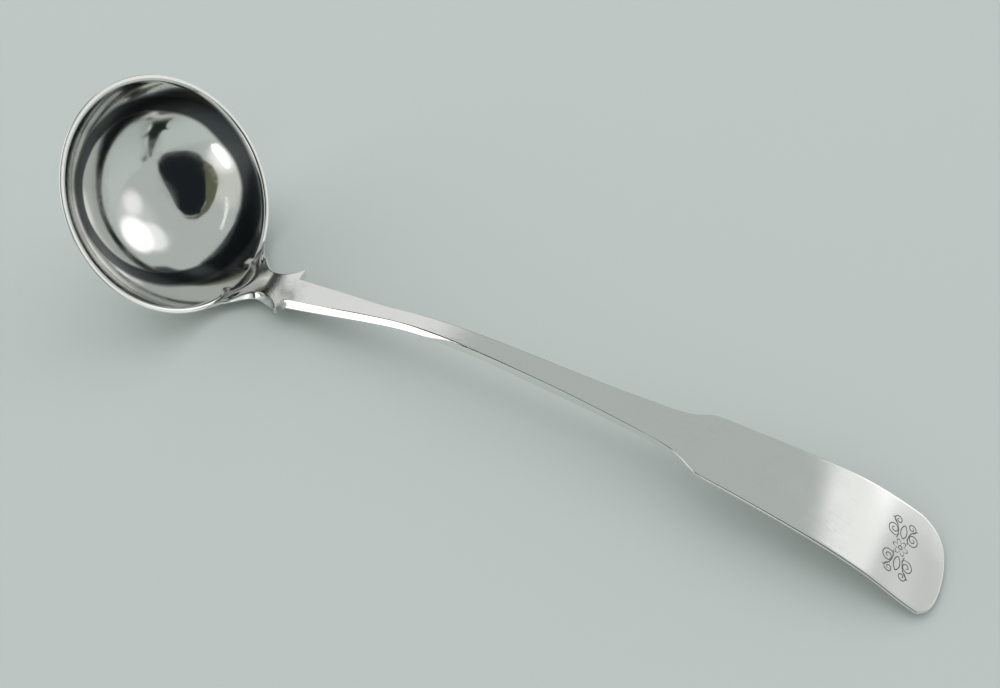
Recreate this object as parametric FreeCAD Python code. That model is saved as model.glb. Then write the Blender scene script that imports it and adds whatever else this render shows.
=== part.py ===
import FreeCAD, Part
import math
import os

# The ladle lies as it rests on a table: the bowl's belly and the turned-down
# tip touch z = 0, +X runs from the bowl to the tip, y = 0 is the mirror plane.
# All lengths are in mm, all angles in degrees.

# bowl: a round cap of a sphere, opened towards the stem
rim_radius = 21.8        # outside radius of the lip
bowl_depth = 14.5        # from the plane of the lip to the outside of the belly
wall = 0.95              # thickness of the bowl's wall
lip_round = 0.35         # rounding of the lip's two edges
bowl_tilt = 57.0         # lean of the lip's plane away from level, towards the stem

# neck: the wall gathers, thickens and runs up into the stem
crease_up = 3.4          # height over the lip's plane where the inside meets the flat face
neck_thick = 3.2         # thickness from the face to the back at the waist
waist_half = 2.85        # half width at the waist
waist_run = 5.9          # distance of the waist from the lip, along X
flare_half = 9.8         # half width where the outline leaves the lip

# wings: two pointed spurs where the neck becomes the stem
wing_half = 5.6          # half width over the two points
wing_run = 11.0          # distance of the points from the lip, along X
notch_half = 3.05        # half width inside the notch behind each point
notch_deep = 0.55        # depth of the notch, back towards the bowl
wing_thin = 1.7          # how much thinner the points are than the middle, cut from below

# stem: a slender flat-topped bar, arched over the table
stem_half = 2.75         # half width just behind the wings
slim_half = 1.45         # half width at the slimmest place
slim_run = 37.0          # distance of the slimmest place from the lip, along X
stem_thick = 3.2         # thickness behind the wings
side_slant = 0.70        # how far the stem's sides slope outwards, as a share of their drop
slim_thick = 2.72        # thickness at the slimmest place
mid_thick = 2.4          # thickness at the top of the arch
arch_top = 12.45         # height of the top face at the crown of the arch
wing_top = 4.85          # height of the top face at the wings

# end: a broad oar with square shoulders, turned down to the table
shoulder_half = 6.4      # half width just past the shoulders
shoulder_run = 92.3      # distance of the shoulders from the lip, along X
end_half = 8.85          # half width at its broadest
end_run = 136.65         # distance of the tip from the lip, along X
end_round = 5.6          # length of the rounded end
end_lean = 0.45          # how far the worn end has moved to the -Y side
plate_thick = 0.88       # thickness of the oar past the shoulders
tip_thick = 0.85         # thickness at the tip
edge_soft = 0.28         # softening of the long upper and lower edges

# the bowl's own frame: centre of the lip, its normal, centre of the sphere
sphere_r = (rim_radius ** 2 + bowl_depth ** 2) / (2 * bowl_depth)
above = sphere_r - bowl_depth
lean = math.radians(bowl_tilt)
lip_z = sphere_r - above * math.cos(lean)
normal = FreeCAD.Vector(math.sin(lean), 0, math.cos(lean))
outward = FreeCAD.Vector(math.cos(lean), 0, -math.sin(lean))
centre = FreeCAD.Vector(0, 0, lip_z)
inner_r = sphere_r - wall
lip_in = math.sqrt(inner_r ** 2 - above ** 2)


def in_bowl(radius, height):
    # a point of the mirror plane, given from the bowl's axis and the lip's plane
    return centre + outward * radius + normal * height


def turned(edges):
    # a full turn of a closed half profile about the bowl's axis
    face = Part.Face(Part.Wire(edges))
    face.rotate(centre, normal, 180)
    return face.revolve(centre, normal, 360)


def through(points):
    curve = Part.BSplineCurve()
    curve.interpolate([FreeCAD.Vector(*p) for p in points])
    return curve.toShape()


def line(a, b):
    return Part.makeLine(FreeCAD.Vector(*a), FreeCAD.Vector(*b))


def on_arc(radius, turn):
    # a point of a ball about the sphere's centre, turn measured from the belly
    angle = math.radians(turn)
    return in_bowl(radius * math.sin(angle), above - radius * math.cos(angle))


# the wall: outer arc, lip with two softened edges, inner arc
out_turn = math.degrees(math.acos(above / sphere_r))
in_turn = math.degrees(math.acos(above / inner_r))
out_low = on_arc(sphere_r, out_turn - math.degrees(lip_round / sphere_r))
in_low = on_arc(inner_r, in_turn - math.degrees(lip_round / inner_r))
lip_a = in_bowl(rim_radius - lip_round, 0)
lip_b = in_bowl(lip_in + lip_round, 0)
soft_a = in_bowl(rim_radius - lip_round * 0.3, -lip_round * 0.25)
soft_b = in_bowl(lip_in + lip_round * 0.25, -lip_round * 0.25)
shell = turned([
    Part.Arc(on_arc(sphere_r, 0), on_arc(sphere_r, out_turn / 2), out_low).toShape(),
    Part.Arc(out_low, soft_a, lip_a).toShape(),
    Part.makeLine(lip_a, lip_b),
    Part.Arc(lip_b, soft_b, in_low).toShape(),
    Part.Arc(in_low, on_arc(inner_r, in_turn / 2), on_arc(inner_r, 0)).toShape(),
    Part.makeLine(on_arc(inner_r, 0), on_arc(sphere_r, 0)),
])

# where the parts of the handle begin and end, along X
root_x = rim_radius * math.cos(lean)
crease = in_bowl(lip_in + 0.15, crease_up)
waist_x = root_x + waist_run
wing_x = root_x + wing_run
stem_x = wing_x + 0.45
slim_x = root_x + slim_run
shoulder_x = root_x + shoulder_run
tip_x = root_x + end_run
rise = arch_top - wing_top
fall = arch_top - tip_thick
waist_top = wing_top - 0.72
stem_top = wing_top + 0.10
half_gain = end_half - shoulder_half

# the neck and its wings: a side view and a plan, each carried straight through
face_line = [
    (crease.x - 6.0, 0, crease.z - 2.6),
    (crease.x, 0, crease.z),
    (waist_x, 0, waist_top),
    (wing_x, 0, wing_top),
    (stem_x, 0, stem_top),
]
back_line = [
    (crease.x - 6.0, 0, -3.0),
    (root_x, 0, -0.6),
    (waist_x, 0, waist_top - neck_thick),
    (wing_x, 0, wing_top - stem_thick - 0.04),
    (stem_x, 0, stem_top - stem_thick),
]
side = Part.Face(Part.Wire([
    through(face_line),
    line(face_line[-1], back_line[-1]),
    through(back_line),
    line(back_line[0], face_line[0]),
]))
side.translate(FreeCAD.Vector(0, -flare_half - 2, 0))
block = side.extrude(FreeCAD.Vector(0, 2 * flare_half + 4, 0))

flare_x = math.sqrt(rim_radius ** 2 - flare_half ** 2) * math.cos(lean)
start_x = flare_x - 3.0
neck_line = [
    (flare_x, flare_half, 0),
    (root_x + 0.10, 0.76 * flare_half, 0),
    (root_x + 1.95, 0.54 * flare_half, 0),
    (waist_x - 1.85, waist_half + 0.55, 0),
    (waist_x, waist_half, 0),
    (waist_x + 1.9, waist_half + 0.35, 0),
    (wing_x - 1.5, waist_half + 0.47 * (wing_half - waist_half), 0),
    (wing_x, wing_half, 0),
]
notch_line = [
    (wing_x - 0.10, notch_half + 0.55, 0),
    (stem_x - notch_deep, notch_half, 0),
    (stem_x, stem_half + 0.10, 0),
]


def mirrored(points):
    return [(p[0], -p[1], p[2]) for p in reversed(points)]


low_neck = mirrored(neck_line)
low_notch = mirrored(notch_line)
plan = Part.Face(Part.Wire([
    line((start_x, -flare_half, 0), (start_x, flare_half, 0)),
    line((start_x, flare_half, 0), neck_line[0]),
    through(neck_line),
    line(neck_line[-1], notch_line[0]),
    line(notch_line[0], notch_line[1]),
    line(notch_line[1], notch_line[2]),
    line(notch_line[2], low_notch[0]),
    line(low_notch[0], low_notch[1]),
    line(low_notch[1], low_notch[2]),
    line(low_notch[2], low_neck[0]),
    through(low_neck),
    line(low_neck[-1], (start_x, -flare_half, 0)),
]))
plan.translate(FreeCAD.Vector(0, 0, -10))
neck = block.common(plan.extrude(FreeCAD.Vector(0, 0, 40)))

# the back of the neck grows out of the bowl's wall all round, like a gusset
reach = rim_radius + 110
overlap = 0.6
ball_low = in_bowl(math.sqrt(sphere_r ** 2 - (above + overlap) ** 2), -overlap)
ball_mid = in_bowl(math.sqrt(sphere_r ** 2 - (above + overlap / 2) ** 2), -overlap / 2)
gusset = turned([
    Part.makeLine(in_bowl(0, -overlap), ball_low),
    Part.Arc(ball_low, ball_mid, in_bowl(rim_radius, 0)).toShape(),
    through([
        tuple(in_bowl(rim_radius, 0)),
        tuple(in_bowl(rim_radius + 0.75, 1.6)),
        tuple(in_bowl(rim_radius + 2.1, 4.0)),
        tuple(in_bowl(rim_radius + 4.2, 7.0)),
        tuple(in_bowl(rim_radius + 8.5, 11.0)),
    ]),
    Part.makeLine(in_bowl(rim_radius + 8.5, 11.0), in_bowl(reach, 12.0)),
    Part.makeLine(in_bowl(reach, 12.0), in_bowl(reach, 240.0)),
    Part.makeLine(in_bowl(reach, 240.0), in_bowl(0, 240.0)),
    Part.makeLine(in_bowl(0, 240.0), in_bowl(0, -overlap)),
])
# the hollow of the bowl, carried straight up past the lip
hollow = turned([
    Part.Arc(on_arc(inner_r, 0), on_arc(inner_r, in_turn / 2), on_arc(inner_r, in_turn)).toShape(),
    Part.makeLine(on_arc(inner_r, in_turn), in_bowl(lip_in + 0.15, crease_up)),
    Part.makeLine(in_bowl(lip_in + 0.15, crease_up), in_bowl(lip_in - 1.0, crease_up + 12.0)),
    Part.makeLine(in_bowl(lip_in - 1.0, crease_up + 12.0), in_bowl(0, crease_up + 12.0)),
    Part.makeLine(in_bowl(0, crease_up + 12.0), on_arc(inner_r, 0)),
])

# the stem and its oar: one bar drawn through bevelled cross sections
lead = slim_x - stem_x
span = shoulder_x - slim_x
past_it = tip_x - shoulder_x
narrowing = stem_half - slim_half
widening = shoulder_half - slim_half
thinning = stem_thick - slim_thick


def up(share):
    # height of the top face after part of the rise from the wings to the arch
    return wing_top + share * rise


def down(share):
    # height of the top face after part of the fall from the arch to the tip
    return arch_top - share * fall


stations = [
    # along X, half width, top, thickness
    (stem_x, stem_half + 0.06, stem_top, stem_thick),
    (stem_x + 0.10 * lead, stem_half - 0.07 * narrowing, up(0.105), stem_thick),
    (stem_x + 0.20 * lead, stem_half - 0.19 * narrowing, up(0.178), stem_thick - 0.20 * thinning),
    (stem_x + 0.37 * lead, stem_half - 0.40 * narrowing, up(0.325), stem_thick - 0.35 * thinning),
    (stem_x + 0.55 * lead, stem_half - 0.68 * narrowing, up(0.467), stem_thick - 0.55 * thinning),
    (stem_x + 0.77 * lead, slim_half + 0.06, up(0.636), stem_thick - 0.85 * thinning),
    (slim_x, slim_half, up(0.830), slim_thick),
    (slim_x + 0.10 * span, slim_half + 0.03 * widening, up(0.940), mid_thick + 0.1),
    (slim_x + 0.20 * span, slim_half + 0.065 * widening, arch_top - 0.09, mid_thick),
    (slim_x + 0.31 * span, slim_half + 0.10 * widening, arch_top, mid_thick),
    (slim_x + 0.42 * span, slim_half + 0.14 * widening, down(0.008), mid_thick + 0.1),
    (slim_x + 0.52 * span, slim_half + 0.175 * widening, down(0.022), mid_thick + 0.1),
    (slim_x + 0.62 * span, slim_half + 0.23 * widening, down(0.042), mid_thick - 0.05),
    (slim_x + 0.72 * span, slim_half + 0.30 * widening, down(0.062), mid_thick - 0.25),
    (slim_x + 0.82 * span, slim_half + 0.39 * widening, down(0.082), mid_thick - 0.4),
    (shoulder_x - 0.10 * span, slim_half + 0.485 * widening, down(0.105), plate_thick + 0.9),
    (shoulder_x - 0.06 * span, slim_half + 0.600 * widening, down(0.120), plate_thick + 0.55),
    (shoulder_x - 0.026 * span, slim_half + 0.78 * widening, down(0.134), plate_thick + 0.2),
    (shoulder_x + 0.3, shoulder_half - 0.28, down(0.149), plate_thick + 0.05),
    (shoulder_x + 2.2, shoulder_half + 0.06, down(0.163), plate_thick),
    (shoulder_x + 0.12 * past_it, shoulder_half + 0.10 * half_gain, down(0.186), plate_thick),
    (shoulder_x + 0.27 * past_it, shoulder_half + 0.30 * half_gain, down(0.236), plate_thick),
    (shoulder_x + 0.45 * past_it, shoulder_half + 0.54 * half_gain, down(0.316), plate_thick),
    (shoulder_x + 0.61 * past_it, shoulder_half + 0.76 * half_gain, down(0.425), plate_thick),
    (tip_x - 2.0 * end_round, shoulder_half + 0.90 * half_gain, down(0.595), plate_thick),
    (tip_x - 1.17 * end_round, end_half, down(0.775), tip_thick),
    (tip_x - 0.53 * end_round, end_half, down(0.905), tip_thick),
    (tip_x, end_half, tip_thick, tip_thick),
    (tip_x + 1.6, end_half, tip_thick - 0.045 * fall, tip_thick),
]


def section(x, half, top, thick):
    # the sides slope outwards below the top near the bowl, and stand upright at the oar
    soft = min(edge_soft, 0.3 * thick)
    under = min(1.6 * edge_soft, 0.35 * thick)
    share = min(1.0, max(0.0, ((shoulder_x - x) / span - 0.3) / 0.65))
    slant = side_slant * share * share
    drop = (thick - under) / (1 + 1.33 * slant)
    wide = half + slant * drop
    foot = wide - under - 0.75 * (thick - under - drop)
    corners = [
        (x, half - soft, top),
        (x, half + slant * soft, top - soft),
        (x, wide, top - drop),
        (x, foot, top - thick),
    ]
    corners += [(x, -y, z) for x, y, z in reversed(corners)]
    return Part.makePolygon([FreeCAD.Vector(*c) for c in corners + corners[:1]])


bar = Part.makeLoft([section(*s) for s in stations], True, False)

# the rounded end, a little fuller on the -Y side
round_line = []
for away, half, lean_share in [
    (end_round + 0.8, end_half + 0.15, 0),
    (0.60 * end_round, end_half - 0.45, 0.9),
    (0.27 * end_round, 0.77 * end_half, 1),
    (0.06 * end_round, 0.42 * end_half, 1),
    (0, 0, 1),
]:
    round_line.append((tip_x - away, half - lean_share * end_lean, 0))
    if half:
        round_line.insert(0, (tip_x - away, -half - lean_share * end_lean, 0))
round_line.sort(key=lambda p: -p[1])
past = tip_x + 5
beyond = end_half + 5
trim = Part.Face(Part.Wire([
    through(round_line),
    line(round_line[-1], (round_line[-1][0], -beyond, 0)),
    line((round_line[-1][0], -beyond, 0), (past, -beyond, 0)),
    line((past, -beyond, 0), (past, beyond, 0)),
    line((past, beyond, 0), (round_line[0][0], beyond, 0)),
    line((round_line[0][0], beyond, 0), round_line[0]),
]))
trim.translate(FreeCAD.Vector(0, 0, -10))
bar = bar.cut(trim.extrude(FreeCAD.Vector(0, 0, 40)))

# the wings thin out from below towards their points
slope = (back_line[4][2] - back_line[2][2]) / (back_line[4][0] - back_line[2][0])
spare = 1.2
steep = wing_thin / (wing_half - waist_half - 0.15)
cut_x = waist_x - 0.1
cut_z = back_line[2][2] - 0.1 * slope
flat_half = waist_half + 0.15


def underside(way):
    corners = [
        (cut_x, way * flat_half, cut_z),
        (cut_x, way * (wing_half + spare), cut_z + steep * (wing_half + spare - flat_half)),
        (cut_x, way * (wing_half + spare), cut_z - 3),
        (cut_x, way * flat_half, cut_z - 3),
    ]
    face = Part.Face(Part.makePolygon([FreeCAD.Vector(*c) for c in corners + corners[:1]]))
    return face.extrude(FreeCAD.Vector(8, 0, 8 * slope))


neck = neck.common(gusset).cut(hollow)
neck = neck.cut(underside(1)).cut(underside(-1))
ladle = shell.fuse([neck, bar]).removeSplitter()


def edges_where(test):
    found = []
    for edge in ladle.Edges:
        if not edge.Degenerated:
            middle = edge.valueAt((edge.FirstParameter + edge.LastParameter) / 2)
            if test(edge, middle):
                found.append(edge)
    return found


def end_edge(edge, middle):
    return edge.BoundBox.XMin > tip_x - end_round - 1.5 and edge.Length > end_half


def neck_edge(edge, middle):
    box = edge.BoundBox
    to_point = wing_x - 0.4 < box.XMax < stem_x and box.XMin < waist_x
    return to_point and box.ZMax > wing_top - 0.5 and abs(middle.y) > waist_half


tip_soft = 0.8 * min(edge_soft, 0.3 * tip_thick)
ladle = ladle.makeFillet(tip_soft, edges_where(end_edge))
ladle = ladle.makeFillet(0.8 * edge_soft, edges_where(neck_edge))

# the middle of its length comes over the origin
far_x = above * math.sin(lean) - sphere_r
ladle.translate(FreeCAD.Vector(-(far_x + tip_x) / 2, 0, 0))

os.makedirs("parts", exist_ok=True)
ladle.exportStep("parts/ladle.step")
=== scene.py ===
import math

import bmesh
import bpy
import numpy as np
from mathutils import Matrix, Vector


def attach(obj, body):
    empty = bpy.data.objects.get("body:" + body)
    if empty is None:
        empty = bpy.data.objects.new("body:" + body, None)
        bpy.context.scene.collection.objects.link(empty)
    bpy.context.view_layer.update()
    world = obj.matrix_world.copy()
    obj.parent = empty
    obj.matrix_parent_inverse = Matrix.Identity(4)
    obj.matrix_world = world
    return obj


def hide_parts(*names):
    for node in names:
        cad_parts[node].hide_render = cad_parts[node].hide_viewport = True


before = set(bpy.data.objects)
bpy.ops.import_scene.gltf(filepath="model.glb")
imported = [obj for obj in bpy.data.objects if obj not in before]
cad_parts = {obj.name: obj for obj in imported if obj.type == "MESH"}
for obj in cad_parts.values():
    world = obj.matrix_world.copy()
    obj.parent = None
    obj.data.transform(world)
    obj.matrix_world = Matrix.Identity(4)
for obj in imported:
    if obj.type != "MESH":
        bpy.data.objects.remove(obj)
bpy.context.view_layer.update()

# The bowl: a round cap raised from one sheet of silver, about a millimetre
# thick, whose lip is left square and then worn soft. It leans over until the
# low side of the lip almost touches the table. Sizes are in millimetres.
rim_radius = 21.8
bowl_depth = 14.5
wall = 0.95
lip_round = 0.35
bowl_lean = math.radians(57.0)

ball = (rim_radius ** 2 + bowl_depth ** 2) / (2 * bowl_depth)
ball_inside = ball - wall
above = ball - bowl_depth
lip_inside = math.sqrt(ball_inside ** 2 - above ** 2)
lip_centre = np.array([0.0, 0.0, ball - above * math.cos(bowl_lean)])
to_stem = np.array([math.cos(bowl_lean), 0.0, -math.sin(bowl_lean)])
sideways = np.array([0.0, 1.0, 0.0])
bowl_axis = np.array([math.sin(bowl_lean), 0.0, math.cos(bowl_lean)])


def bowl_point(radius, height, turn):
    # a place in the bowl, turn measured round its axis from the stem's side
    radius, height, turn = np.broadcast_arrays(radius, height, turn)
    out = np.multiply.outer(radius * np.cos(turn), to_stem)
    out = out + np.multiply.outer(radius * np.sin(turn), sideways)
    return lip_centre + out + np.multiply.outer(height, bowl_axis)


def cap_row(radius, angle):
    # radius and height of a place on a ball, angle measured from the belly
    return (radius * math.sin(angle), above - radius * math.cos(angle))


def bend(start, middle, end, steps):
    # the round arc through three points of the section, both ends included
    (ax, ay), (bx, by), (cx, cy) = start, middle, end
    d = 2 * (ax * (by - cy) + bx * (cy - ay) + cx * (ay - by))
    a2, b2, c2 = ax * ax + ay * ay, bx * bx + by * by, cx * cx + cy * cy
    ox = (a2 * (by - cy) + b2 * (cy - ay) + c2 * (ay - by)) / d
    oy = (a2 * (cx - bx) + b2 * (ax - cx) + c2 * (bx - ax)) / d
    first = math.atan2(ay - oy, ax - ox)
    last = math.atan2(cy - oy, cx - ox)
    turn = (last - first + math.pi) % (2 * math.pi) - math.pi
    size = math.hypot(ax - ox, ay - oy)
    angles = [first + turn * k / steps for k in range(steps + 1)]
    return [(ox + size * math.cos(a), oy + size * math.sin(a)) for a in angles]


cap_steps = 52
inner_soft_steps = 4
flat_steps = 4
outer_soft_steps = 14
in_end = math.acos(above / ball_inside) - lip_round / ball_inside
out_end = math.acos(above / ball) - lip_round / ball
in_low = cap_row(ball_inside, in_end)
out_low = cap_row(ball, out_end)
flat_in = (lip_inside + lip_round, 0.0)
flat_out = (rim_radius - lip_round, 0.0)
soft_in = (lip_inside + lip_round * 0.25, -lip_round * 0.25)
soft_out = (rim_radius - lip_round * 0.3, -lip_round * 0.25)

section = [cap_row(ball_inside, in_end * k / cap_steps) for k in range(cap_steps)]
section += bend(in_low, soft_in, flat_in, inner_soft_steps)
for k in range(1, flat_steps):
    share = k / flat_steps
    section.append((flat_in[0] + share * (flat_out[0] - flat_in[0]), 0.0))
section += bend(flat_out, soft_out, out_low, outer_soft_steps)
section += [cap_row(ball, out_end * (1 - k / cap_steps)) for k in range(1, cap_steps + 1)]
section = np.array(section)
row_in = cap_steps
row_flat_out = cap_steps + inner_soft_steps + flat_steps
row_out = row_flat_out + outer_soft_steps

# The neck, the stem and the oar: the bowl's wall is drawn up into a thick
# neck with two pointed wings, then a slender arched stem, then a flat oar
# hammered thin and turned down at the tip. All of it is one forging.
crease_up = 3.4
neck_thick = 3.2
waist_half = 2.85
waist_run = 5.9
flare_half = 9.8
wing_half = 5.6
wing_run = 11.0
wing_thin = 1.7
stem_half = 2.75
slim_half = 1.45
slim_run = 37.0
stem_thick = 3.2
side_slant = 0.70
slim_thick = 2.72
mid_thick = 2.4
arch_top = 12.45
wing_top = 4.85
shoulder_half = 6.4
shoulder_run = 92.3
end_half = 8.85
end_run = 136.65
end_round = 5.6
end_lean = 0.45
plate_thick = 0.88
tip_thick = 0.85
edge_soft = 0.28

root_x = rim_radius * math.cos(bowl_lean)
crease_x, _, crease_z = bowl_point(lip_inside + 0.15, crease_up, 0.0)
waist_x = root_x + waist_run
wing_x = root_x + wing_run
stem_x = wing_x + 0.45
slim_x = root_x + slim_run
shoulder_x = root_x + shoulder_run
tip_x = root_x + end_run
lead = slim_x - stem_x
span = shoulder_x - slim_x
past_it = tip_x - shoulder_x
narrowing = stem_half - slim_half
widening = shoulder_half - slim_half
thinning = stem_thick - slim_thick
half_gain = end_half - shoulder_half
fall = arch_top - tip_thick


def up(share):
    # a height on the rise from the wings to the top of the arch
    return wing_top + share * (arch_top - wing_top)


def down(share):
    # a height on the fall from the top of the arch to the tip
    return arch_top - share * fall


stations = [
    # along the ladle, half width, height of the top face, thickness
    (stem_x, stem_half + 0.06, wing_top + 0.10, stem_thick),
    (stem_x + 0.10 * lead, stem_half - 0.07 * narrowing, up(0.105), stem_thick),
    (stem_x + 0.20 * lead, stem_half - 0.19 * narrowing, up(0.178), stem_thick - 0.20 * thinning),
    (stem_x + 0.37 * lead, stem_half - 0.40 * narrowing, up(0.325), stem_thick - 0.35 * thinning),
    (stem_x + 0.55 * lead, stem_half - 0.68 * narrowing, up(0.467), stem_thick - 0.55 * thinning),
    (stem_x + 0.77 * lead, slim_half + 0.06, up(0.636), stem_thick - 0.85 * thinning),
    (slim_x, slim_half, up(0.830), slim_thick),
    (slim_x + 0.10 * span, slim_half + 0.03 * widening, up(0.940), mid_thick + 0.1),
    (slim_x + 0.20 * span, slim_half + 0.065 * widening, arch_top - 0.09, mid_thick),
    (slim_x + 0.31 * span, slim_half + 0.10 * widening, arch_top, mid_thick),
    (slim_x + 0.42 * span, slim_half + 0.14 * widening, down(0.008), mid_thick + 0.1),
    (slim_x + 0.52 * span, slim_half + 0.175 * widening, down(0.022), mid_thick + 0.1),
    (slim_x + 0.62 * span, slim_half + 0.23 * widening, down(0.042), mid_thick - 0.05),
    (slim_x + 0.72 * span, slim_half + 0.30 * widening, down(0.062), mid_thick - 0.25),
    (slim_x + 0.82 * span, slim_half + 0.39 * widening, down(0.082), mid_thick - 0.4),
    (shoulder_x - 0.10 * span, slim_half + 0.485 * widening, down(0.105), plate_thick + 0.9),
    (shoulder_x - 0.06 * span, slim_half + 0.600 * widening, down(0.120), plate_thick + 0.55),
    (shoulder_x - 0.026 * span, slim_half + 0.78 * widening, down(0.134), plate_thick + 0.2),
    (shoulder_x + 0.3, shoulder_half - 0.28, down(0.149), plate_thick + 0.05),
    (shoulder_x + 2.2, shoulder_half + 0.06, down(0.163), plate_thick),
    (shoulder_x + 0.12 * past_it, shoulder_half + 0.10 * half_gain, down(0.186), plate_thick),
    (shoulder_x + 0.27 * past_it, shoulder_half + 0.30 * half_gain, down(0.236), plate_thick),
    (shoulder_x + 0.45 * past_it, shoulder_half + 0.54 * half_gain, down(0.316), plate_thick),
    (shoulder_x + 0.61 * past_it, shoulder_half + 0.76 * half_gain, down(0.425), plate_thick),
    (tip_x - 2.0 * end_round, shoulder_half + 0.90 * half_gain, down(0.595), plate_thick),
    (tip_x - 1.17 * end_round, end_half, down(0.775), tip_thick),
    (tip_x - 0.53 * end_round, end_half, down(0.905), tip_thick),
    (tip_x, end_half, tip_thick, tip_thick),
    (tip_x + 1.6, end_half, tip_thick - 0.045 * fall, tip_thick),
]


def smooth_through(places, values):
    # the smooth curve through some stations, as a function
    x, y = np.array(places, float), np.array(values, float)
    gap = np.diff(x)
    count = len(x)
    system = np.eye(count)
    wanted = np.zeros(count)
    for i in range(1, count - 1):
        system[i, i - 1:i + 2] = gap[i - 1], 2 * (gap[i - 1] + gap[i]), gap[i]
        wanted[i] = 6 * ((y[i + 1] - y[i]) / gap[i] - (y[i] - y[i - 1]) / gap[i - 1])
    bow = np.linalg.solve(system, wanted)

    def height(q):
        q = np.asarray(q, float)
        i = np.clip(np.searchsorted(x, q) - 1, 0, count - 2)
        left, right, size = x[i + 1] - q, q - x[i], gap[i]
        curved = (bow[i] * left ** 3 + bow[i + 1] * right ** 3) / (6 * size)
        low = (y[i] / size - bow[i] * size / 6) * left
        return curved + low + (y[i + 1] / size - bow[i + 1] * size / 6) * right

    return height


def eased(curve, start, end, reach):
    # the same curve with what is shorter than reach smoothed away
    step = 0.05
    x = np.arange(start, end + step, step)
    y = curve(x)
    window = np.arange(-3 * reach, 3 * reach + step, step)
    weight = np.exp(-(window / reach) ** 2 / 2)
    pad = len(window) // 2
    before = y[0] + (np.arange(-pad, 0)) * (y[1] - y[0])
    after = y[-1] + (np.arange(1, pad + 1)) * (y[-1] - y[-2])
    soft = np.convolve(np.concatenate([before, y, after]), weight / weight.sum(), "same")
    soft = soft[pad:pad + len(y)]
    return lambda q: np.interp(q, x, soft)


station_x = [s[0] for s in stations]
face_x = [crease_x - 6.0, crease_x, waist_x, wing_x] + station_x
face_z = [crease_z - 2.6, crease_z, wing_top - 0.86, wing_top] + [s[2] for s in stations]
top_at = eased(smooth_through(face_x, face_z), face_x[0], face_x[-1], 2.2)
back_x = [crease_x - 6.0, root_x, waist_x, wing_x] + station_x
back_z = [-3.0, -0.6, wing_top - 0.72 - neck_thick, wing_top - stem_thick - 0.04]
back_z += [s[2] - s[3] for s in stations]
back_at = eased(smooth_through(back_x, back_z), back_x[0], back_x[-1], 1.0)
stem_half_at = smooth_through(station_x, [s[1] for s in stations])
stem_half_at = eased(stem_half_at, stem_x, tip_x + 1.6, 0.35)
neck_half_at = smooth_through(
    [
        math.sqrt(rim_radius ** 2 - flare_half ** 2) * math.cos(bowl_lean),
        root_x + 0.10,
        root_x + 1.95,
        waist_x - 1.85,
        waist_x,
        waist_x + 1.9,
        wing_x - 1.5,
        wing_x,
    ],
    [
        flare_half,
        0.76 * flare_half,
        0.54 * flare_half,
        waist_half + 0.55,
        waist_half,
        waist_half + 0.35,
        waist_half + 0.47 * (wing_half - waist_half),
        wing_half,
    ],
)

# under the neck the metal swells out of the bowl's wall all round
swell_at = smooth_through(
    [0.0, 1.6, 4.0, 7.0, 11.0],
    [rim_radius, rim_radius + 0.75, rim_radius + 2.1, rim_radius + 4.2, rim_radius + 8.5],
)


def swell_radius(height):
    # from the bowl's axis to the skin: the ball below the lip, the swelling above it
    on_ball = np.sqrt(np.maximum(ball ** 2 - (height - above) ** 2, 0.0))
    return np.where(height > 0, swell_at(np.maximum(height, 0.0)), on_ball)


def swell_under(x, y):
    # height over the table of the swelling's skin, under a place of the plan
    low = np.full(np.shape(x), -4.0)
    high = np.full(np.shape(x), 14.0)
    for _ in range(44):
        z = (low + high) / 2
        height = x * bowl_axis[0] + (z - lip_centre[2]) * bowl_axis[2]
        along = x * to_stem[0] + (z - lip_centre[2]) * to_stem[2]
        within = np.hypot(along, y) < swell_radius(height)
        high = np.where(within, z, high)
        low = np.where(within, low, z)
    return high


def blend_up(a, b, reach):
    # the higher of two heights, with the corner between them rounded
    near = np.maximum(reach - np.abs(a - b), 0.0) / reach
    return np.maximum(a, b) + near * near * reach / 4


def ramp(x, start, end):
    # 0 before the start, 1 past the end, eased between them
    t = np.clip((x - start) / (end - start), 0.0, 1.0)
    return t * t * (3 - 2 * t)


wing_slope = wing_thin / (wing_half - waist_half - 0.15)


def under_at(x, y):
    # the back of the neck and stem, thinned from below towards the wings' points
    x, y = np.broadcast_arrays(np.asarray(x, float), np.asarray(y, float))
    back = back_at(x)
    wing = ramp(x, waist_x - 0.8, waist_x + 0.6) * (1 - ramp(x, wing_x, stem_x + 0.4))
    thinned = back - 0.9 + wing * (0.9 + wing_slope * (np.abs(y) - waist_half - 0.15))
    back = blend_up(back, thinned, 0.35)
    neck = x < wing_x
    swollen = np.where(neck, swell_under(np.where(neck, x, root_x), y), -9.0)
    return blend_up(back, swollen, 0.5)


# where the flat face meets each ring of the lip: the neck grows from there
def meets_face(radius, height):
    near, far = 0.0, math.radians(40)
    for _ in range(50):
        turn = (near + far) / 2
        x, _, z = bowl_point(radius, height, turn)
        near, far = (turn, far) if top_at(x) > z else (near, turn)
    return near


crease_turn = meets_face(*in_low)
lip_turn = math.radians(27.0)
joint_turn = np.full(len(section), crease_turn)
joint_rows = np.arange(row_in, row_out + 1)
across = np.clip((joint_rows - row_in) / (row_flat_out - row_in), 0, 1)
joint_turn[row_in:row_out + 1] = crease_turn + (lip_turn - crease_turn) * across ** 0.8
joint_turn[row_out:] = lip_turn

# the bowl's skin, all round, but for the patch of lip that the neck covers
joint_steps = 40
round_steps = 232
faces = []
points = []
softness = []


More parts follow.
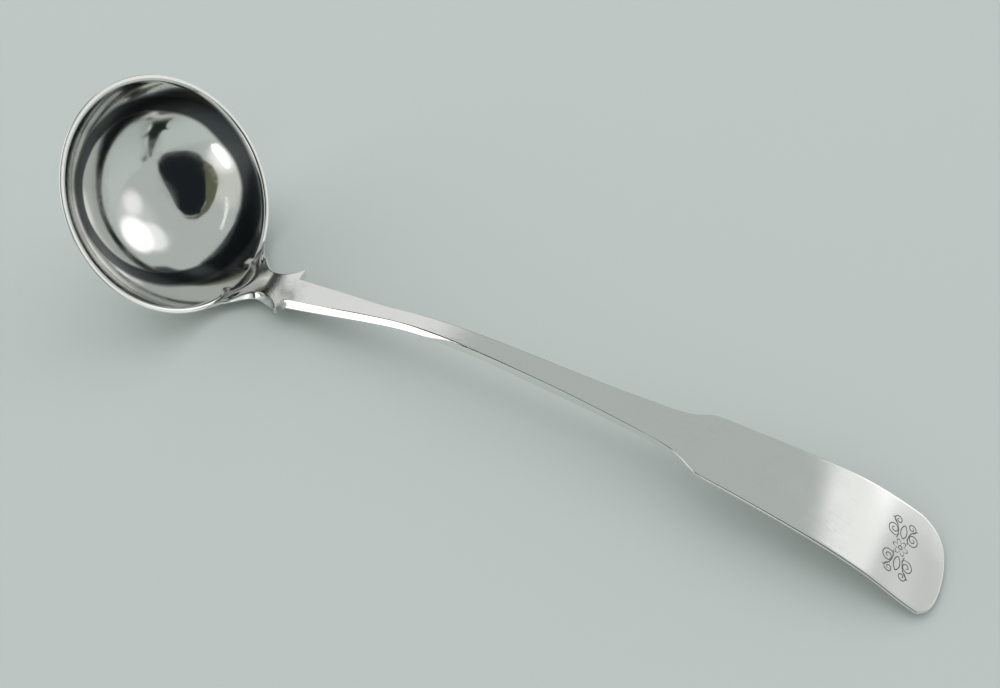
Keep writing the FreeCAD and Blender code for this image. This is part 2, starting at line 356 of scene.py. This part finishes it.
def lay_grid(grid, closed=False, soft=None):
    # a sheet of four-cornered faces over rows of points, soft where it is 1
    rows, columns = grid.shape[:2]
    start = sum(len(p) for p in points)
    points.append(grid.reshape(-1, 3))
    softness.append(np.zeros(rows * columns) if soft is None else soft.reshape(-1))
    for r in range(rows - 1):
        for c in range(columns if closed else columns - 1):
            d = (c + 1) % columns
            a = start + r * columns
            faces.append((a + c, a + d, a + columns + d, a + columns + c))


joint_share = np.linspace(-1, 1, joint_steps + 1)
round_share = np.linspace(0, 1, round_steps + 1)
joint_grid = np.array([
    bowl_point(r, h, j * joint_share) for (r, h), j in zip(section, joint_turn)
])
rest_grid = np.array([
    bowl_point(r, h, j + (2 * math.pi - 2 * j) * round_share)
    for (r, h), j in zip(section, joint_turn)
])
lay_grid(joint_grid[row_out:])

# the bowl's inside runs on up past the lip until it meets the flat face
climb_steps = 10
climb = []
for turn in joint_turn[row_in] * joint_share:
    low, high = in_low[1], crease_up * 1.5
    for _ in range(50):
        middle = (low + high) / 2
        x, _, z = bowl_point(lip_inside + 0.15 * max(middle, 0) / crease_up, middle, turn)
        low, high = (middle, high) if top_at(x) > z else (low, middle)
    heights = in_low[1] + (low - in_low[1]) * np.linspace(0, 1, climb_steps + 1)
    inside = np.sqrt(ball_inside ** 2 - (np.minimum(heights, 0) - above) ** 2)
    climb.append(bowl_point(inside + 0.15 * np.maximum(heights, 0) / crease_up, heights, turn))
climb = np.array(climb).transpose(1, 0, 2)
climb[:, 0] = joint_grid[row_in, 0]
climb[:, -1] = joint_grid[row_in, -1]


side_flat = joint_grid[row_in + 1:row_flat_out + 1]
first_top = np.concatenate([side_flat[::-1, 0], climb[-1], side_flat[:, -1]])


def near_line(grid, line, full, none):
    # 1 up to a first distance from a line, eased to 0 at a second one
    far = np.full(grid.shape[:-1], 9.0)
    for place in line:
        far = np.minimum(far, np.linalg.norm(grid - place, axis=-1))
    return 1 - ramp(far, full, none)


crease = climb[-1]
worn, unworn = 0.3, 1.3
lay_grid(climb, soft=near_line(climb, crease, worn, unworn))
inside = joint_grid[:row_in + 1]
lay_grid(inside, soft=near_line(inside, crease, worn, unworn))
rest_soft = near_line(rest_grid, crease, worn, unworn)
rest_soft[row_flat_out:] = 0
lay_grid(rest_grid, soft=rest_soft)

# the first ring of the handle: crease, flat of the lip, its outer edge, belly
first_side = joint_grid[row_flat_out:row_out + 1, -1]
first_under = joint_grid[row_out][::-1]
top_count = len(first_top)
under_count = len(first_under)
side_count = len(first_side)
top_share = np.linspace(-1, 1, top_count)
under_share = np.linspace(1, -1, under_count)


def eased_corner(before, corner, after, steps):
    # the points of a soft corner, from one side of it to the other
    t = np.linspace(0, 1, steps)[:, None]
    return (1 - t) ** 2 * before + 2 * t * (1 - t) * corner + t ** 2 * after


def edge_profile(x, y, out_x, out_y, top_in, under, slant):
    # the handle's side, from the edge of the top face round to the back
    top = float(top_at(x))
    thick = top - float(under_at(x - out_x * under, y - out_y * under))
    soft = min(edge_soft, 0.3 * thick)
    drop = (thick - under) / (1 + 1.33 * slant)
    bulge = np.array([slant * drop, -drop])
    foot = np.array([slant * drop - under - 0.75 * (thick - under - drop), -thick])
    shoulder = np.array([slant * soft, -soft])
    upper, lower = bulge - shoulder, foot - bulge
    long_upper, long_lower = np.linalg.norm(upper), np.linalg.norm(lower)
    ease = min(0.22, 0.4 * long_upper, 0.4 * long_lower)
    into, onward = upper / long_upper * ease, lower / long_lower * ease
    third = side_count // 3
    shape = np.concatenate([
        eased_corner(np.array([-top_in, 0.0]), np.zeros(2), shoulder, third),
        eased_corner(bulge - into, bulge, bulge + onward, third),
        eased_corner(foot - onward, foot, foot - [ease, 0], side_count - 2 * third),
    ])
    away, rise = shape[:, 0], shape[:, 1]
    px, py = x + out_x * away, y + out_y * away
    return np.stack([px, py, top + rise + (top_at(px) - top) * np.exp(rise)], axis=1)


def ring_of(top, plus, under, minus):
    # one closed ring, from the top's -Y edge over and round to its start
    return np.concatenate([top, plus[1:-1], under, minus[::-1][1:-1]])


rings = [ring_of(first_top, first_side, first_under, first_side * [1, -1, 1])]

# from the crease to the waist the rows run on from the lip into the neck
neck_steps = 44
neck_soft = 0.9 * edge_soft
neck_under = 1.2 * edge_soft
neck_start = first_side[side_count // 2][0]
neck_slant = 0.62


def neck_side(x):
    # the neck's side where its outline is at x, square to the outline and
    # sloping outwards as it goes down
    slant = neck_slant * float(ramp(x, neck_start + 0.8, neck_start + 3.0))
    slope = float(neck_half_at(x + 0.01) - neck_half_at(x - 0.01)) / 0.02
    length = math.hypot(slope, 1.0)
    half = float(neck_half_at(x))
    out_x, out_y = -slope / length, 1 / length
    return edge_profile(x, half, out_x, out_y, neck_soft, neck_under, slant)


def neck_row(first, spread, edge, height_at, share):
    # one row across the neck, held to the neck's side at both ends
    ease = 1 - ramp(share, 0.0, 0.45)
    last = np.column_stack([np.full(len(spread), waist_x), spread * abs(waist_edge[edge][1])])
    flat = first[:, :2] + share * (last - first[:, :2])
    end = plus[edge]
    side_pull = (end[:2] - flat[np.argmax(spread)])[None, :] * np.abs(spread)[:, None] ** 4
    flat = flat + side_pull * np.stack([np.ones(len(spread)), np.sign(spread)], axis=1)
    lift = first[:, 2] - height_at(first[:, 0], first[:, 1])
    height = height_at(flat[:, 0], flat[:, 1]) + ease * lift
    at_end = np.argmax(spread)
    height = height + (end[2] - height[at_end]) * np.abs(spread) ** 4
    return np.column_stack([flat, height])


def face_height(x, y):
    # the top face is level from side to side
    return top_at(x)


start_side = neck_side(neck_start)
waist_edge = neck_side(waist_x)
for k in range(1, neck_steps + 1):
    share = k / neck_steps
    x = neck_start + share * (waist_x - neck_start)
    plus = neck_side(x) + (1 - ramp(share, 0.0, 0.4)) * (first_side - start_side)
    top = neck_row(first_top, top_share, 0, face_height, share)
    under = neck_row(first_under, under_share, -1, under_at, share)
    rings.append(ring_of(top, plus, under, plus * [1, -1, 1]))

# the outline from the waist to the tip, one line for each side
wing_back = [
    (wing_x - 0.10, wing_half - 0.12),
    (wing_x, wing_half - 0.14),
    (wing_x + 0.08, wing_half - 0.28),
    (wing_x + 0.13, wing_half - 0.60),
    (wing_x + 0.15, wing_half - 1.15),
    (wing_x + 0.16, wing_half - 1.75),
    (wing_x + 0.20, stem_half + 0.42),
    (wing_x + 0.28, stem_half + 0.22),
    (wing_x + 0.42, stem_half + 0.11),
]
neck_x = np.linspace(waist_x, wing_x - 0.25, 40)
stem_long = np.concatenate([
    np.arange(stem_x + 0.15, shoulder_x - 8, 0.62),
    np.arange(shoulder_x - 8, shoulder_x + 5, 0.2),
    np.arange(shoulder_x + 5, tip_x - 8, 0.62),
])
round_points = [
    (end_round + 0.8, end_half + 0.15, 0.0),
    (0.60 * end_round, end_half - 0.45, 0.9),
    (0.27 * end_round, 0.77 * end_half, 1.0),
    (0.06 * end_round, 0.42 * end_half, 1.0),
    (0.0, 0.0, 1.0),
]

outline_passes = 60


def outline(way):
    # one side's outline up to the middle of the tip, evenly stepped at the end
    turned = [(tip_x - a, way * h - s * end_lean) for a, h, s in round_points]
    turned += [(tip_x - a, -way * h - s * end_lean) for a, h, s in round_points[-2:0:-1]]
    turned = np.array(turned)
    run = np.concatenate([[0], np.cumsum(np.hypot(*np.diff(turned, axis=0).T))])
    fine = np.linspace(0, run[len(round_points) - 1], 400)
    curve = np.stack([smooth_through(run, places)(fine) for places in turned.T], axis=1)
    inside = way * curve[:, 1] < stem_half_at(curve[:, 0])
    curve = curve[np.argmax(inside):]
    side_x = np.arange(tip_x - 8, curve[0, 0] - 0.3, 0.05)
    curve = np.concatenate([np.stack([side_x, way * stem_half_at(side_x)], axis=1), curve])
    for _ in range(outline_passes):
        curve[1:-1] = (curve[:-2] + 2 * curve[1:-1] + curve[2:]) / 4
    run = np.concatenate([[0], np.cumsum(np.hypot(*np.diff(curve, axis=0).T))])
    share = np.linspace(0, 1, 76)[1:]
    even = run[-1] * share
    last = np.stack([np.interp(even, run, places) for places in curve.T], axis=1)
    neck = [(x, way * neck_half_at(x)) for x in neck_x]
    back = [(x, way * y) for x, y in wing_back]
    stem = [(x, way * stem_half_at(x)) for x in stem_long]
    return np.concatenate([neck, back, stem, last])


plus_line, minus_line = outline(1), outline(-1)


def outward(line, way):
    # the level direction square to an outline, away from the handle
    along = np.gradient(line, axis=0)
    along[-1] = (0.0, -way)
    normal = np.stack([-along[:, 1], along[:, 0]], axis=1) * way
    return normal / np.linalg.norm(normal, axis=1)[:, None]


plus_out, minus_out = outward(plus_line, 1), outward(minus_line, -1)
for k in range(1, len(plus_line)):
    x = plus_line[k][0]
    at_point = ramp(x, wing_x - 0.9, wing_x - 0.1) * (1 - ramp(x, wing_x + 0.3, stem_x + 0.3))
    share = min(1.0, max(0.0, ((shoulder_x - x) / span - 0.3) / 0.65))
    soft = edge_soft * (0.9 - 0.6 * max(float(at_point), share * float(ramp(x, wing_x, stem_x))))
    soft_under = (1.2 + 0.4 * float(ramp(x, wing_x, stem_x))) * edge_soft
    soft_under = min(soft_under, 0.35 * float(top_at(x) - back_at(x)))
    soft_under = soft_under * (1 - 0.5 * float(at_point))
    slant = side_slant * share * share * float(ramp(x, wing_x + 0.15, stem_x))
    slant += neck_slant * (1 - float(ramp(x, waist_x + 0.5, wing_x - 0.4)))
    left = edge_profile(*minus_line[k], *minus_out[k], soft, soft_under, slant)
    right = edge_profile(*plus_line[k], *plus_out[k], soft, soft_under, slant)
    t = (top_share[:, None] + 1) / 2
    flat = left[0, :2] * (1 - t) + right[0, :2] * t
    top = np.column_stack([flat, top_at(flat[:, 0])])
    t = (under_share[:, None] + 1) / 2
    flat = left[-1, :2] * (1 - t) + right[-1, :2] * t
    under = np.column_stack([flat, under_at(flat[:, 0], flat[:, 1])])
    right[-1, 2], left[-1, 2] = under[0, 2], under[-1, 2]
    ring = ring_of(top, right, under, left)
    if x < stem_x + 0.5:
        ring[:, 0] = np.maximum(ring[:, 0], rings[-1][:, 0] + 0.004)
    rings.append(ring)
rings = np.array(rings)
ring_soft = near_line(rings, first_top, 0.4, 1.8)
calmed = 0.9 * (1 - ramp(np.arange(len(rings)), 20, neck_steps))
ring_soft[:, 2:top_count - 2] = np.maximum(ring_soft[:, 2:top_count - 2], calmed[:, None])
ring_soft[:, top_count:] = 0
lay_grid(rings, closed=True, soft=ring_soft)

# all the sheets become one closed skin, its middle over the origin
body_mesh = bpy.data.meshes.new("ladle_body")
half_way = (above * math.sin(bowl_lean) - ball + tip_x) / 2
skin = (np.concatenate(points) - [half_way, 0, 0]) / 1000
body_mesh.from_pydata(skin.tolist(), [], faces)
sewing = bmesh.new()
sewing.from_mesh(body_mesh)
soft_layer = sewing.verts.layers.float.new("soft")
for vert, soft in zip(sewing.verts, np.concatenate(softness)):
    vert[soft_layer] = soft
bmesh.ops.remove_doubles(sewing, verts=sewing.verts, dist=2e-6)
bmesh.ops.dissolve_degenerate(sewing, edges=sewing.edges, dist=1e-7)

# the crease and the corners of the lip beside it are worn round by the polishing
sewing.verts.index_update()
place = np.array([vert.co for vert in sewing.verts])
soft = np.array([vert[soft_layer] for vert in sewing.verts])
link = np.array([[v.index for v in edge.verts] for edge in sewing.edges])
link = link[(soft[link] > 0).any(axis=1)]
link = np.concatenate([link, link[:, ::-1]])
wear_passes = 200
beside = np.maximum(np.bincount(link[:, 0], minlength=len(place)), 1)
for _ in range(wear_passes):
    for axis in range(3):
        total = np.bincount(link[:, 0], weights=place[link[:, 1], axis], minlength=len(place))
        place[:, axis] += 0.5 * soft * (total / beside - place[:, axis])
for vert, moved in zip(sewing.verts, place.tolist()):
    vert.co = moved
sewing.verts.layers.float.remove(soft_layer)
bmesh.ops.recalc_face_normals(sewing, faces=sewing.faces)
for face in sewing.faces:
    face.smooth = True
sewing.to_mesh(body_mesh)
sewing.free()
ladle = bpy.data.objects.new("ladle_body", body_mesh)
bpy.context.scene.collection.objects.link(ladle)


# Sterling silver, buffed bright and then used and rubbed for years. It mirrors
# the room in slightly wavering shapes, softened by hair-fine scratches, with a
# grey ring painted into the bowl's colour as a painted reflection of the dark
# room, and a flower scroll engraved on the oar.
def linear(hex_colour):
    # a screen colour as the linear light that the materials count in
    parts = [int(hex_colour[i:i + 2], 16) / 255 for i in (1, 3, 5)]
    return [c / 12.92 if c <= 0.04045 else ((c + 0.055) / 1.055) ** 2.4 for c in parts] + [1.0]


def add_node(kind, *in_order, **named):
    # one node with its settings and links. What comes in order, or by a name with
    # a capital letter, is an input: a value, or a node or socket to link to it.
    # Any other name is a setting. An underscore in a name stands for a space.
    node = tree.nodes.new("ShaderNode" + kind)
    for name, value in named.items():
        if name[0].islower():
            setattr(node, name, value)
    inputs = list(zip(node.inputs, in_order))
    known = {s.identifier.replace("_", " "): s for s in node.inputs}
    for name, value in named.items():
        if name[0].isupper():
            plain = name.replace("_", " ")
            inputs.append((known.get(plain) or node.inputs[plain], value))
    for socket, value in inputs:
        if isinstance(value, bpy.types.Node):
            value = next(out for out in value.outputs if out.enabled)
        if isinstance(value, bpy.types.NodeSocket):
            tree.links.new(value, socket)
        else:
            socket.default_value = value
    return node


def only_where(*limits):
    # 1 where every value is past its second limit, 0 where one is before its
    # first, eased between the two. The second limit may be the lower one.
    amount = 1.0
    for value, nothing, full in limits:
        step = add_node("MapRange", value, nothing, full, interpolation_type="SMOOTHSTEP")
        amount = add_node("Math", amount, step, operation="MULTIPLY")
    return amount


sterling = bpy.data.materials.new("polished sterling silver")
sterling.use_nodes = True
tree = sterling.node_tree
tree.nodes.clear()
here = add_node("TexCoord").outputs["Object"]

# soft random patches, given as so many to a metre: where scratches gather, the
# painted dark ring's uneven edge, the waver of the hammered sheet, and the duller patches
gathered, uneven, waver, rubbed = [
    add_node("TexNoise", here, Scale=scale, Detail=detail, Roughness=0.55)
    for scale, detail in ((130.0, 2.0), (55.0, 2.0), (110.0, 1.0), (45.0, 2.0))
]

# scratches that run three ways: patches drawn out forty times in length. Real
# ones are 5 to 20 micrometres wide and are drawn some three times as wide.
scratches = 0.0
for turn, fineness, thin in (
    ((0.3, 0.2, 0.35), 2600.0, 0.012),
    ((1.1, 0.5, 1.9), 2200.0, 0.010),
    ((0.2, 1.0, -0.7), 1900.0, 0.010),
):
    drawn_out = add_node("Mapping", here, Rotation=turn, Scale=(1 / 40, 1.0, 1.0))
    lines = add_node("TexNoise", drawn_out, Scale=fineness, Detail=2.0, Roughness=0.55)
    off_line = add_node("Math", lines, 0.5, operation="SUBTRACT")
    off_line = add_node("Math", off_line, operation="ABSOLUTE")
    one_way = only_where((off_line, thin, 0.0), (gathered, 0.30, 0.75))
    scratches = add_node("Math", scratches, one_way, operation="ADD")

# the painted dark ring, a painted reflection of the dark room that darkens the
# bowl's colour, a little nearer to the rim on the far side of the bowl
to_origin = np.array([half_way, 0, 0])
ring_middle = lip_centre + 1.1 * to_stem + 3.3 * sideways - to_origin
from_ring = add_node("VectorMath", here, tuple(ring_middle / 1000), operation="SUBTRACT")
height = add_node("VectorMath", from_ring, tuple(bowl_axis), operation="DOT_PRODUCT")
ring_far = add_node("VectorMath", from_ring, tuple(bowl_axis), operation="CROSS_PRODUCT")
ring_far = add_node("VectorMath", ring_far, operation="LENGTH")
uneven = add_node("Math", uneven, 0.5, operation="SUBTRACT")
ring_far = add_node("Math", uneven, 0.0016, ring_far, operation="MULTIPLY_ADD")
ball_middle = lip_centre + bowl_axis * above - to_origin
ball_far = add_node("VectorMath", here, tuple(ball_middle / 1000), operation="DISTANCE")
painted_dark_ring = only_where(
    (ring_far, 0.0148, 0.0154),
    (ring_far, 0.0184, 0.0172),
    (ball_far, (ball - 0.4 * wall) / 1000, (ball - 0.8 * wall) / 1000),
    (height, -0.0002, -0.0012),
)

# the engraving: a flower of six petals among eight curls and two leaves, the
# lines 0.15 mm wide. All of it is mirrored both ways about the flower's middle.
flower_x = 0.0737
flower_size = 1.25
line_half = 0.06
place = add_node("SeparateXYZ", here)
beside_flower = add_node("Math", place.outputs["X"], flower_x, operation="SUBTRACT")
one_side = [
    add_node("Math", way, operation="ABSOLUTE") for way in (beside_flower, place.outputs["Y"])
]
u, v = [
    add_node("Math", way, 1000.0 / flower_size, operation="MULTIPLY") for way in one_side
]
on_flower = add_node("CombineXYZ", u, v)


def off_circle(cu, cv, radius):
    # how far a place is outside a circle
    far = add_node("VectorMath", on_flower, (cu, cv, 0.0), operation="DISTANCE")
    return add_node("Math", far, radius, operation="SUBTRACT")


def cut(distance, *limits):
    # an engraved line where the distance is nothing, kept within the limits
    off_line = add_node("Math", distance, operation="ABSOLUTE")
    return only_where((off_line, 1.5 * line_half, 0.5 * line_half), *limits)


def curl(cu, cv, reach, pitch):
    # a spiral of one and a half turns round a point
    du = add_node("Math", u, cu, operation="SUBTRACT")
    dv = add_node("Math", v, cv, operation="SUBTRACT")
    far = off_circle(cu, cv, 0.0)
    turns = add_node("Math", dv, du, operation="ARCTAN2")
    turns = add_node("Math", turns, 0.5 / math.pi, operation="MULTIPLY")
    turns = add_node("Math", far, 1 / pitch, turns, operation="MULTIPLY_ADD")
    turns = add_node("Math", turns, operation="FRACT")
    off_line = add_node("Math", turns, pitch, -0.5 * pitch, operation="MULTIPLY_ADD")
    return cut(off_line, (far, reach, reach - 0.06), (far, 0.12, 0.18))


petal = add_node("Math", v, u, operation="ARCTAN2")
petal = add_node("Math", petal, 3.0, operation="MULTIPLY")
petal = add_node("Math", petal, operation="COSINE")
petal = add_node("Math", petal, operation="ABSOLUTE")
petal = add_node("Math", petal, 0.62, 0.50, operation="MULTIPLY_ADD")
engraving = 0.0
for line in (
    cut(off_circle(0.0, 0.0, petal)),
    cut(off_circle(0.0, 0.0, 0.26)),
    curl(1.45, 2.15, 1.0, 0.52),
    curl(1.05, 3.75, 0.72, 0.42),
    # the stalk and the leaf, each a piece of a circle
    cut(off_circle(3.1, 1.75, 2.35), (v, 0.95, 1.05), (v, 4.35, 4.25), (u, 2.0, 1.9)),
    cut(off_circle(-0.95, 2.45, 1.42), (v, 1.35, 1.45), (v, 3.65, 3.55)),
):
    engraving = add_node("Math", engraving, line, operation="MAXIMUM")
upwards = add_node("SeparateXYZ", add_node("TexCoord").outputs["Normal"]).outputs["Z"]
on_oar = only_where((u, 3.1, 3.0), (v, 4.9, 4.8), (upwards, 0.2, 0.4))
engraving = add_node("Math", engraving, on_oar, operation="MULTIPLY")

# the surface: wavering, then scratched, then engraved, each with its depth in metres
surface = add_node("Bump", Strength=1.0, Distance=0.00002, Height=waver)
for marks, strength, depth in ((scratches, 0.15, 0.00001), (engraving, 0.9, 0.00006)):
    level = add_node("Math", 1.0, marks, operation="SUBTRACT")
    surface = add_node("Bump", Strength=strength, Distance=depth, Height=level, Normal=surface)
dullness = 0.05
# the painted dark ring (painted reflection) is made duller as well as darker, and so is the
# engraving
for part, share in (
    (only_where((rubbed, 0.25, 0.85)), 0.06),
    (scratches, 0.06),
    (add_node("Math", painted_dark_ring, engraving, operation="MAXIMUM"), 0.12),
):
    dullness = add_node("Math", part, share, dullness, operation="MULTIPLY_ADD")
# the first colour below is the painted dark ring, a painted reflection of the dark room laid into
# the silver's colour
tone = linear("#EFEFEC")
for part, share, colour in (
    (painted_dark_ring, 1.0, "#565A5C"), (engraving, 0.9, "#4C4B46"), (scratches, 0.12, "#8E8E8A"),
):
    amount = add_node("Math", part, share, operation="MULTIPLY")
    tone = add_node("Mix", Factor=amount, A_Color=tone, B_Color=linear(colour), data_type="RGBA")
metal = add_node(
    "BsdfPrincipled", Base_Color=tone, Metallic=1.0, Roughness=dullness, Normal=surface,
)
add_node("OutputMaterial", metal)
body_mesh.materials.append(sterling)
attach(ladle, "root")
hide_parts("ladle")

# The table: one wide sheet of pale matt paper under the ladle.
paper = bpy.data.materials.new("pale matt paper")
paper.use_nodes = True
tree = paper.node_tree
tree.nodes.clear()
matt = add_node(
    "BsdfPrincipled", Base_Color=linear("#C2C9C7"), Roughness=0.9, Specular_IOR_Level=0.2,
)
add_node("OutputMaterial", matt)
table_half = 1.6
corners = [(x * table_half, y * table_half, 0) for x, y in ((-1, -1), (1, -1), (1, 1), (-1, 1))]
table_mesh = bpy.data.meshes.new("table")
table_mesh.from_pydata(corners, [], [(0, 1, 2, 3)])
table_mesh.materials.append(paper)
table = bpy.data.objects.new("table", table_mesh)
bpy.context.scene.collection.objects.link(table)

# What the silver mirrors from afar: pale grey all round, with broad soft
# lights whose edges melt away, and one dark gap between two of them.
room = bpy.data.worlds.new("soft room")
room.use_nodes = True
tree = room.node_tree
tree.nodes.clear()
towards = add_node("TexCoord").outputs["Generated"]
compass = add_node("SeparateXYZ", towards)
east, north = compass.outputs["X"], compass.outputs["Y"]


def direction(turn, height):
    # the way to a place, in degrees round from +X and degrees up
    turn, height = math.radians(turn), math.radians(height)
    flat = math.cos(height)
    return np.array([flat * math.cos(turn), flat * math.sin(turn), math.sin(height)])


def soft_spot(turn, height, inner, outer):
    # 1 within an inner angle of a direction, 0 outside the outer one
    aim = tuple(direction(turn, height))
    nearness = add_node("VectorMath", towards, aim, operation="DOT_PRODUCT")
    return only_where((nearness, math.cos(math.radians(outer)), math.cos(math.radians(inner))))


# each light or shade is laid over the ones before it
view = linear("#B2B8B6")
for amount, colour, strength in (
    (soft_spot(136, 37, 5, 21), "#E4E5E5", 1.0),
    (soft_spot(42, 20, 6, 27), "#C9CCCB", 1.0),
    (soft_spot(50, 36, 9, 15), "#F4F6F5", 1.0),
    (soft_spot(54, 22, 9, 17), "#FFFFFF", 1.4),
    (soft_spot(30, 13, 2, 13), "#FAFBFB", 0.95),
    (only_where((east, -0.08, 0.02), (east, 0.58, 0.46), (north, -0.42, -0.62)), "#C9CCC6", 1.0),
    (soft_spot(292, 15, 2, 17), "#F4F5F2", 1.0),
    (only_where((east, -0.31, -0.35), (north, 0.22, 0.05), (north, -1.0, -0.90)), "#FFFFFF", 1.7),
    (only_where((east, -0.35, -0.31), (east, -0.06, -0.12), (north, -0.30, -0.50)), "#3A403C", 1.0),
):
    lit = [channel * strength for channel in linear(colour)[:3]] + [1.0]
    view = add_node("Mix", Factor=amount, A_Color=view, B_Color=lit, data_type="RGBA")
add_node("OutputWorld", add_node("Background", view, 1.0))
bpy.context.scene.world = room

# Cards near the ladle, which only its mirror sees and which neither light nor
# shade a thing: two dark screens, two bright panes, and a black cloth in two parts.
bowl_centre = np.array([-66.0, 0.0, 12.0])


def around_bowl(distance, aims):
    # corners so many millimetres from the bowl, each in its own direction
    return [bowl_centre + distance * direction(turn, height) for turn, height in aims]


for name, colour, strength, corners in (
    ("dark_screen", "#1A1F22", 1.0, around_bowl(300, [
        (-10, 4), (-18, 0), (-29, 2), (-40, 5), (-48, 11), (-51, 22), (-47, 39), (-40, 55),
        (-21, 63), (-6, 61), (2, 56), (1, 47), (-4, 35), (-6, 22), (-7, 12),
    ])),
    ("olive_screen", "#5C604E", 1.0, around_bowl(305, [
        (-49, 15), (-57, 22), (-61, 32), (-61, 42), (-55, 54), (-39, 64), (-9, 66), (4, 60),
        (4, 56), (-6, 62), (-21, 63), (-40, 56),
    ])),
    ("bright_strip", "#FFFFFF", 1.5, around_bowl(310, [
        (-59, 2), (-64, 1), (-70, 8), (-74, 18), (-75, 24), (-70, 25), (-64, 17), (-59, 8),
    ])),
    ("bright_pane", "#F6F6F2", 1.0, around_bowl(310, [
        (-74, 51), (-80, 61), (-83, 73), (-88, 83), (-72, 82), (-76, 71), (-73, 61), (-71, 52),
    ])),
    ("black_cloth", "#32383A", 1.0, [
        (-300, -520, 250), (-102, -520, 250), (-92, 0, 250), (-92, 150, 250), (-300, 150, 250),
    ]),
    ("black_cloth_end", "#32383A", 1.0, [
        (-260, 250, 250), (-95, 250, 250), (-30, 340, 250), (0, 520, 250), (-260, 520, 250),
    ]),
):
    card_mesh = bpy.data.meshes.new(name)
    metres = [tuple(c / 1000 for c in corner) for corner in corners]
    card_mesh.from_pydata(metres, [], [range(len(corners))])
    shade = bpy.data.materials.new(name)
    shade.use_nodes = True
    tree = shade.node_tree
    tree.nodes.clear()
    add_node("OutputMaterial", add_node("Emission", linear(colour), strength))
    card_mesh.materials.append(shade)
    card = bpy.data.objects.new(name, card_mesh)
    bpy.context.scene.collection.objects.link(card)
    card.visible_camera = False
    card.visible_diffuse = False
    card.visible_shadow = False

# One broad soft lamp over the table gives the paper its light and shadows.
lamp_data = bpy.data.lights.new("broad_lamp", "AREA")
lamp_data.shape = "RECTANGLE"
lamp_data.size = 1.3
lamp_data.size_y = 1.3
lamp_data.energy = 4.3
lamp = bpy.data.objects.new("broad_lamp", lamp_data)
lamp.location = (-0.25, 0.35, 1.0)
lamp.rotation_euler = lamp.location.normalized().to_track_quat("Z", "Y").to_euler()
lamp.visible_glossy = False
bpy.context.scene.collection.objects.link(lamp)

# The camera stands over the ladle, off the oar's near side, rolled a little.
camera_turn = math.radians(20.65)
camera_down = math.radians(53.06)
camera_roll = math.radians(5.69)
camera_place = Vector((35.75, -94.74, 149.12)) / 1000
forward = Vector((
    -math.sin(camera_turn) * math.cos(camera_down),
    math.cos(camera_turn) * math.cos(camera_down),
    -math.sin(camera_down),
))
right = forward.cross(Vector((0, 0, 1))).normalized()
upward = right.cross(forward)
right_rolled = right * math.cos(camera_roll) + upward * math.sin(camera_roll)
upward_rolled = upward * math.cos(camera_roll) - right * math.sin(camera_roll)
frame_pixels = 1000
focal_pixels = 977.3
lens = bpy.data.cameras.new("camera")
lens.sensor_width = 36.0
lens.lens = lens.sensor_width * focal_pixels / frame_pixels
camera = bpy.data.objects.new("camera", lens)
turn = Matrix((right_rolled, upward_rolled, -forward)).transposed().to_4x4()
camera.matrix_world = Matrix.Translation(camera_place) @ turn
bpy.context.scene.collection.objects.link(camera)
bpy.context.scene.camera = camera
bpy.context.scene.view_settings.view_transform = "Standard"
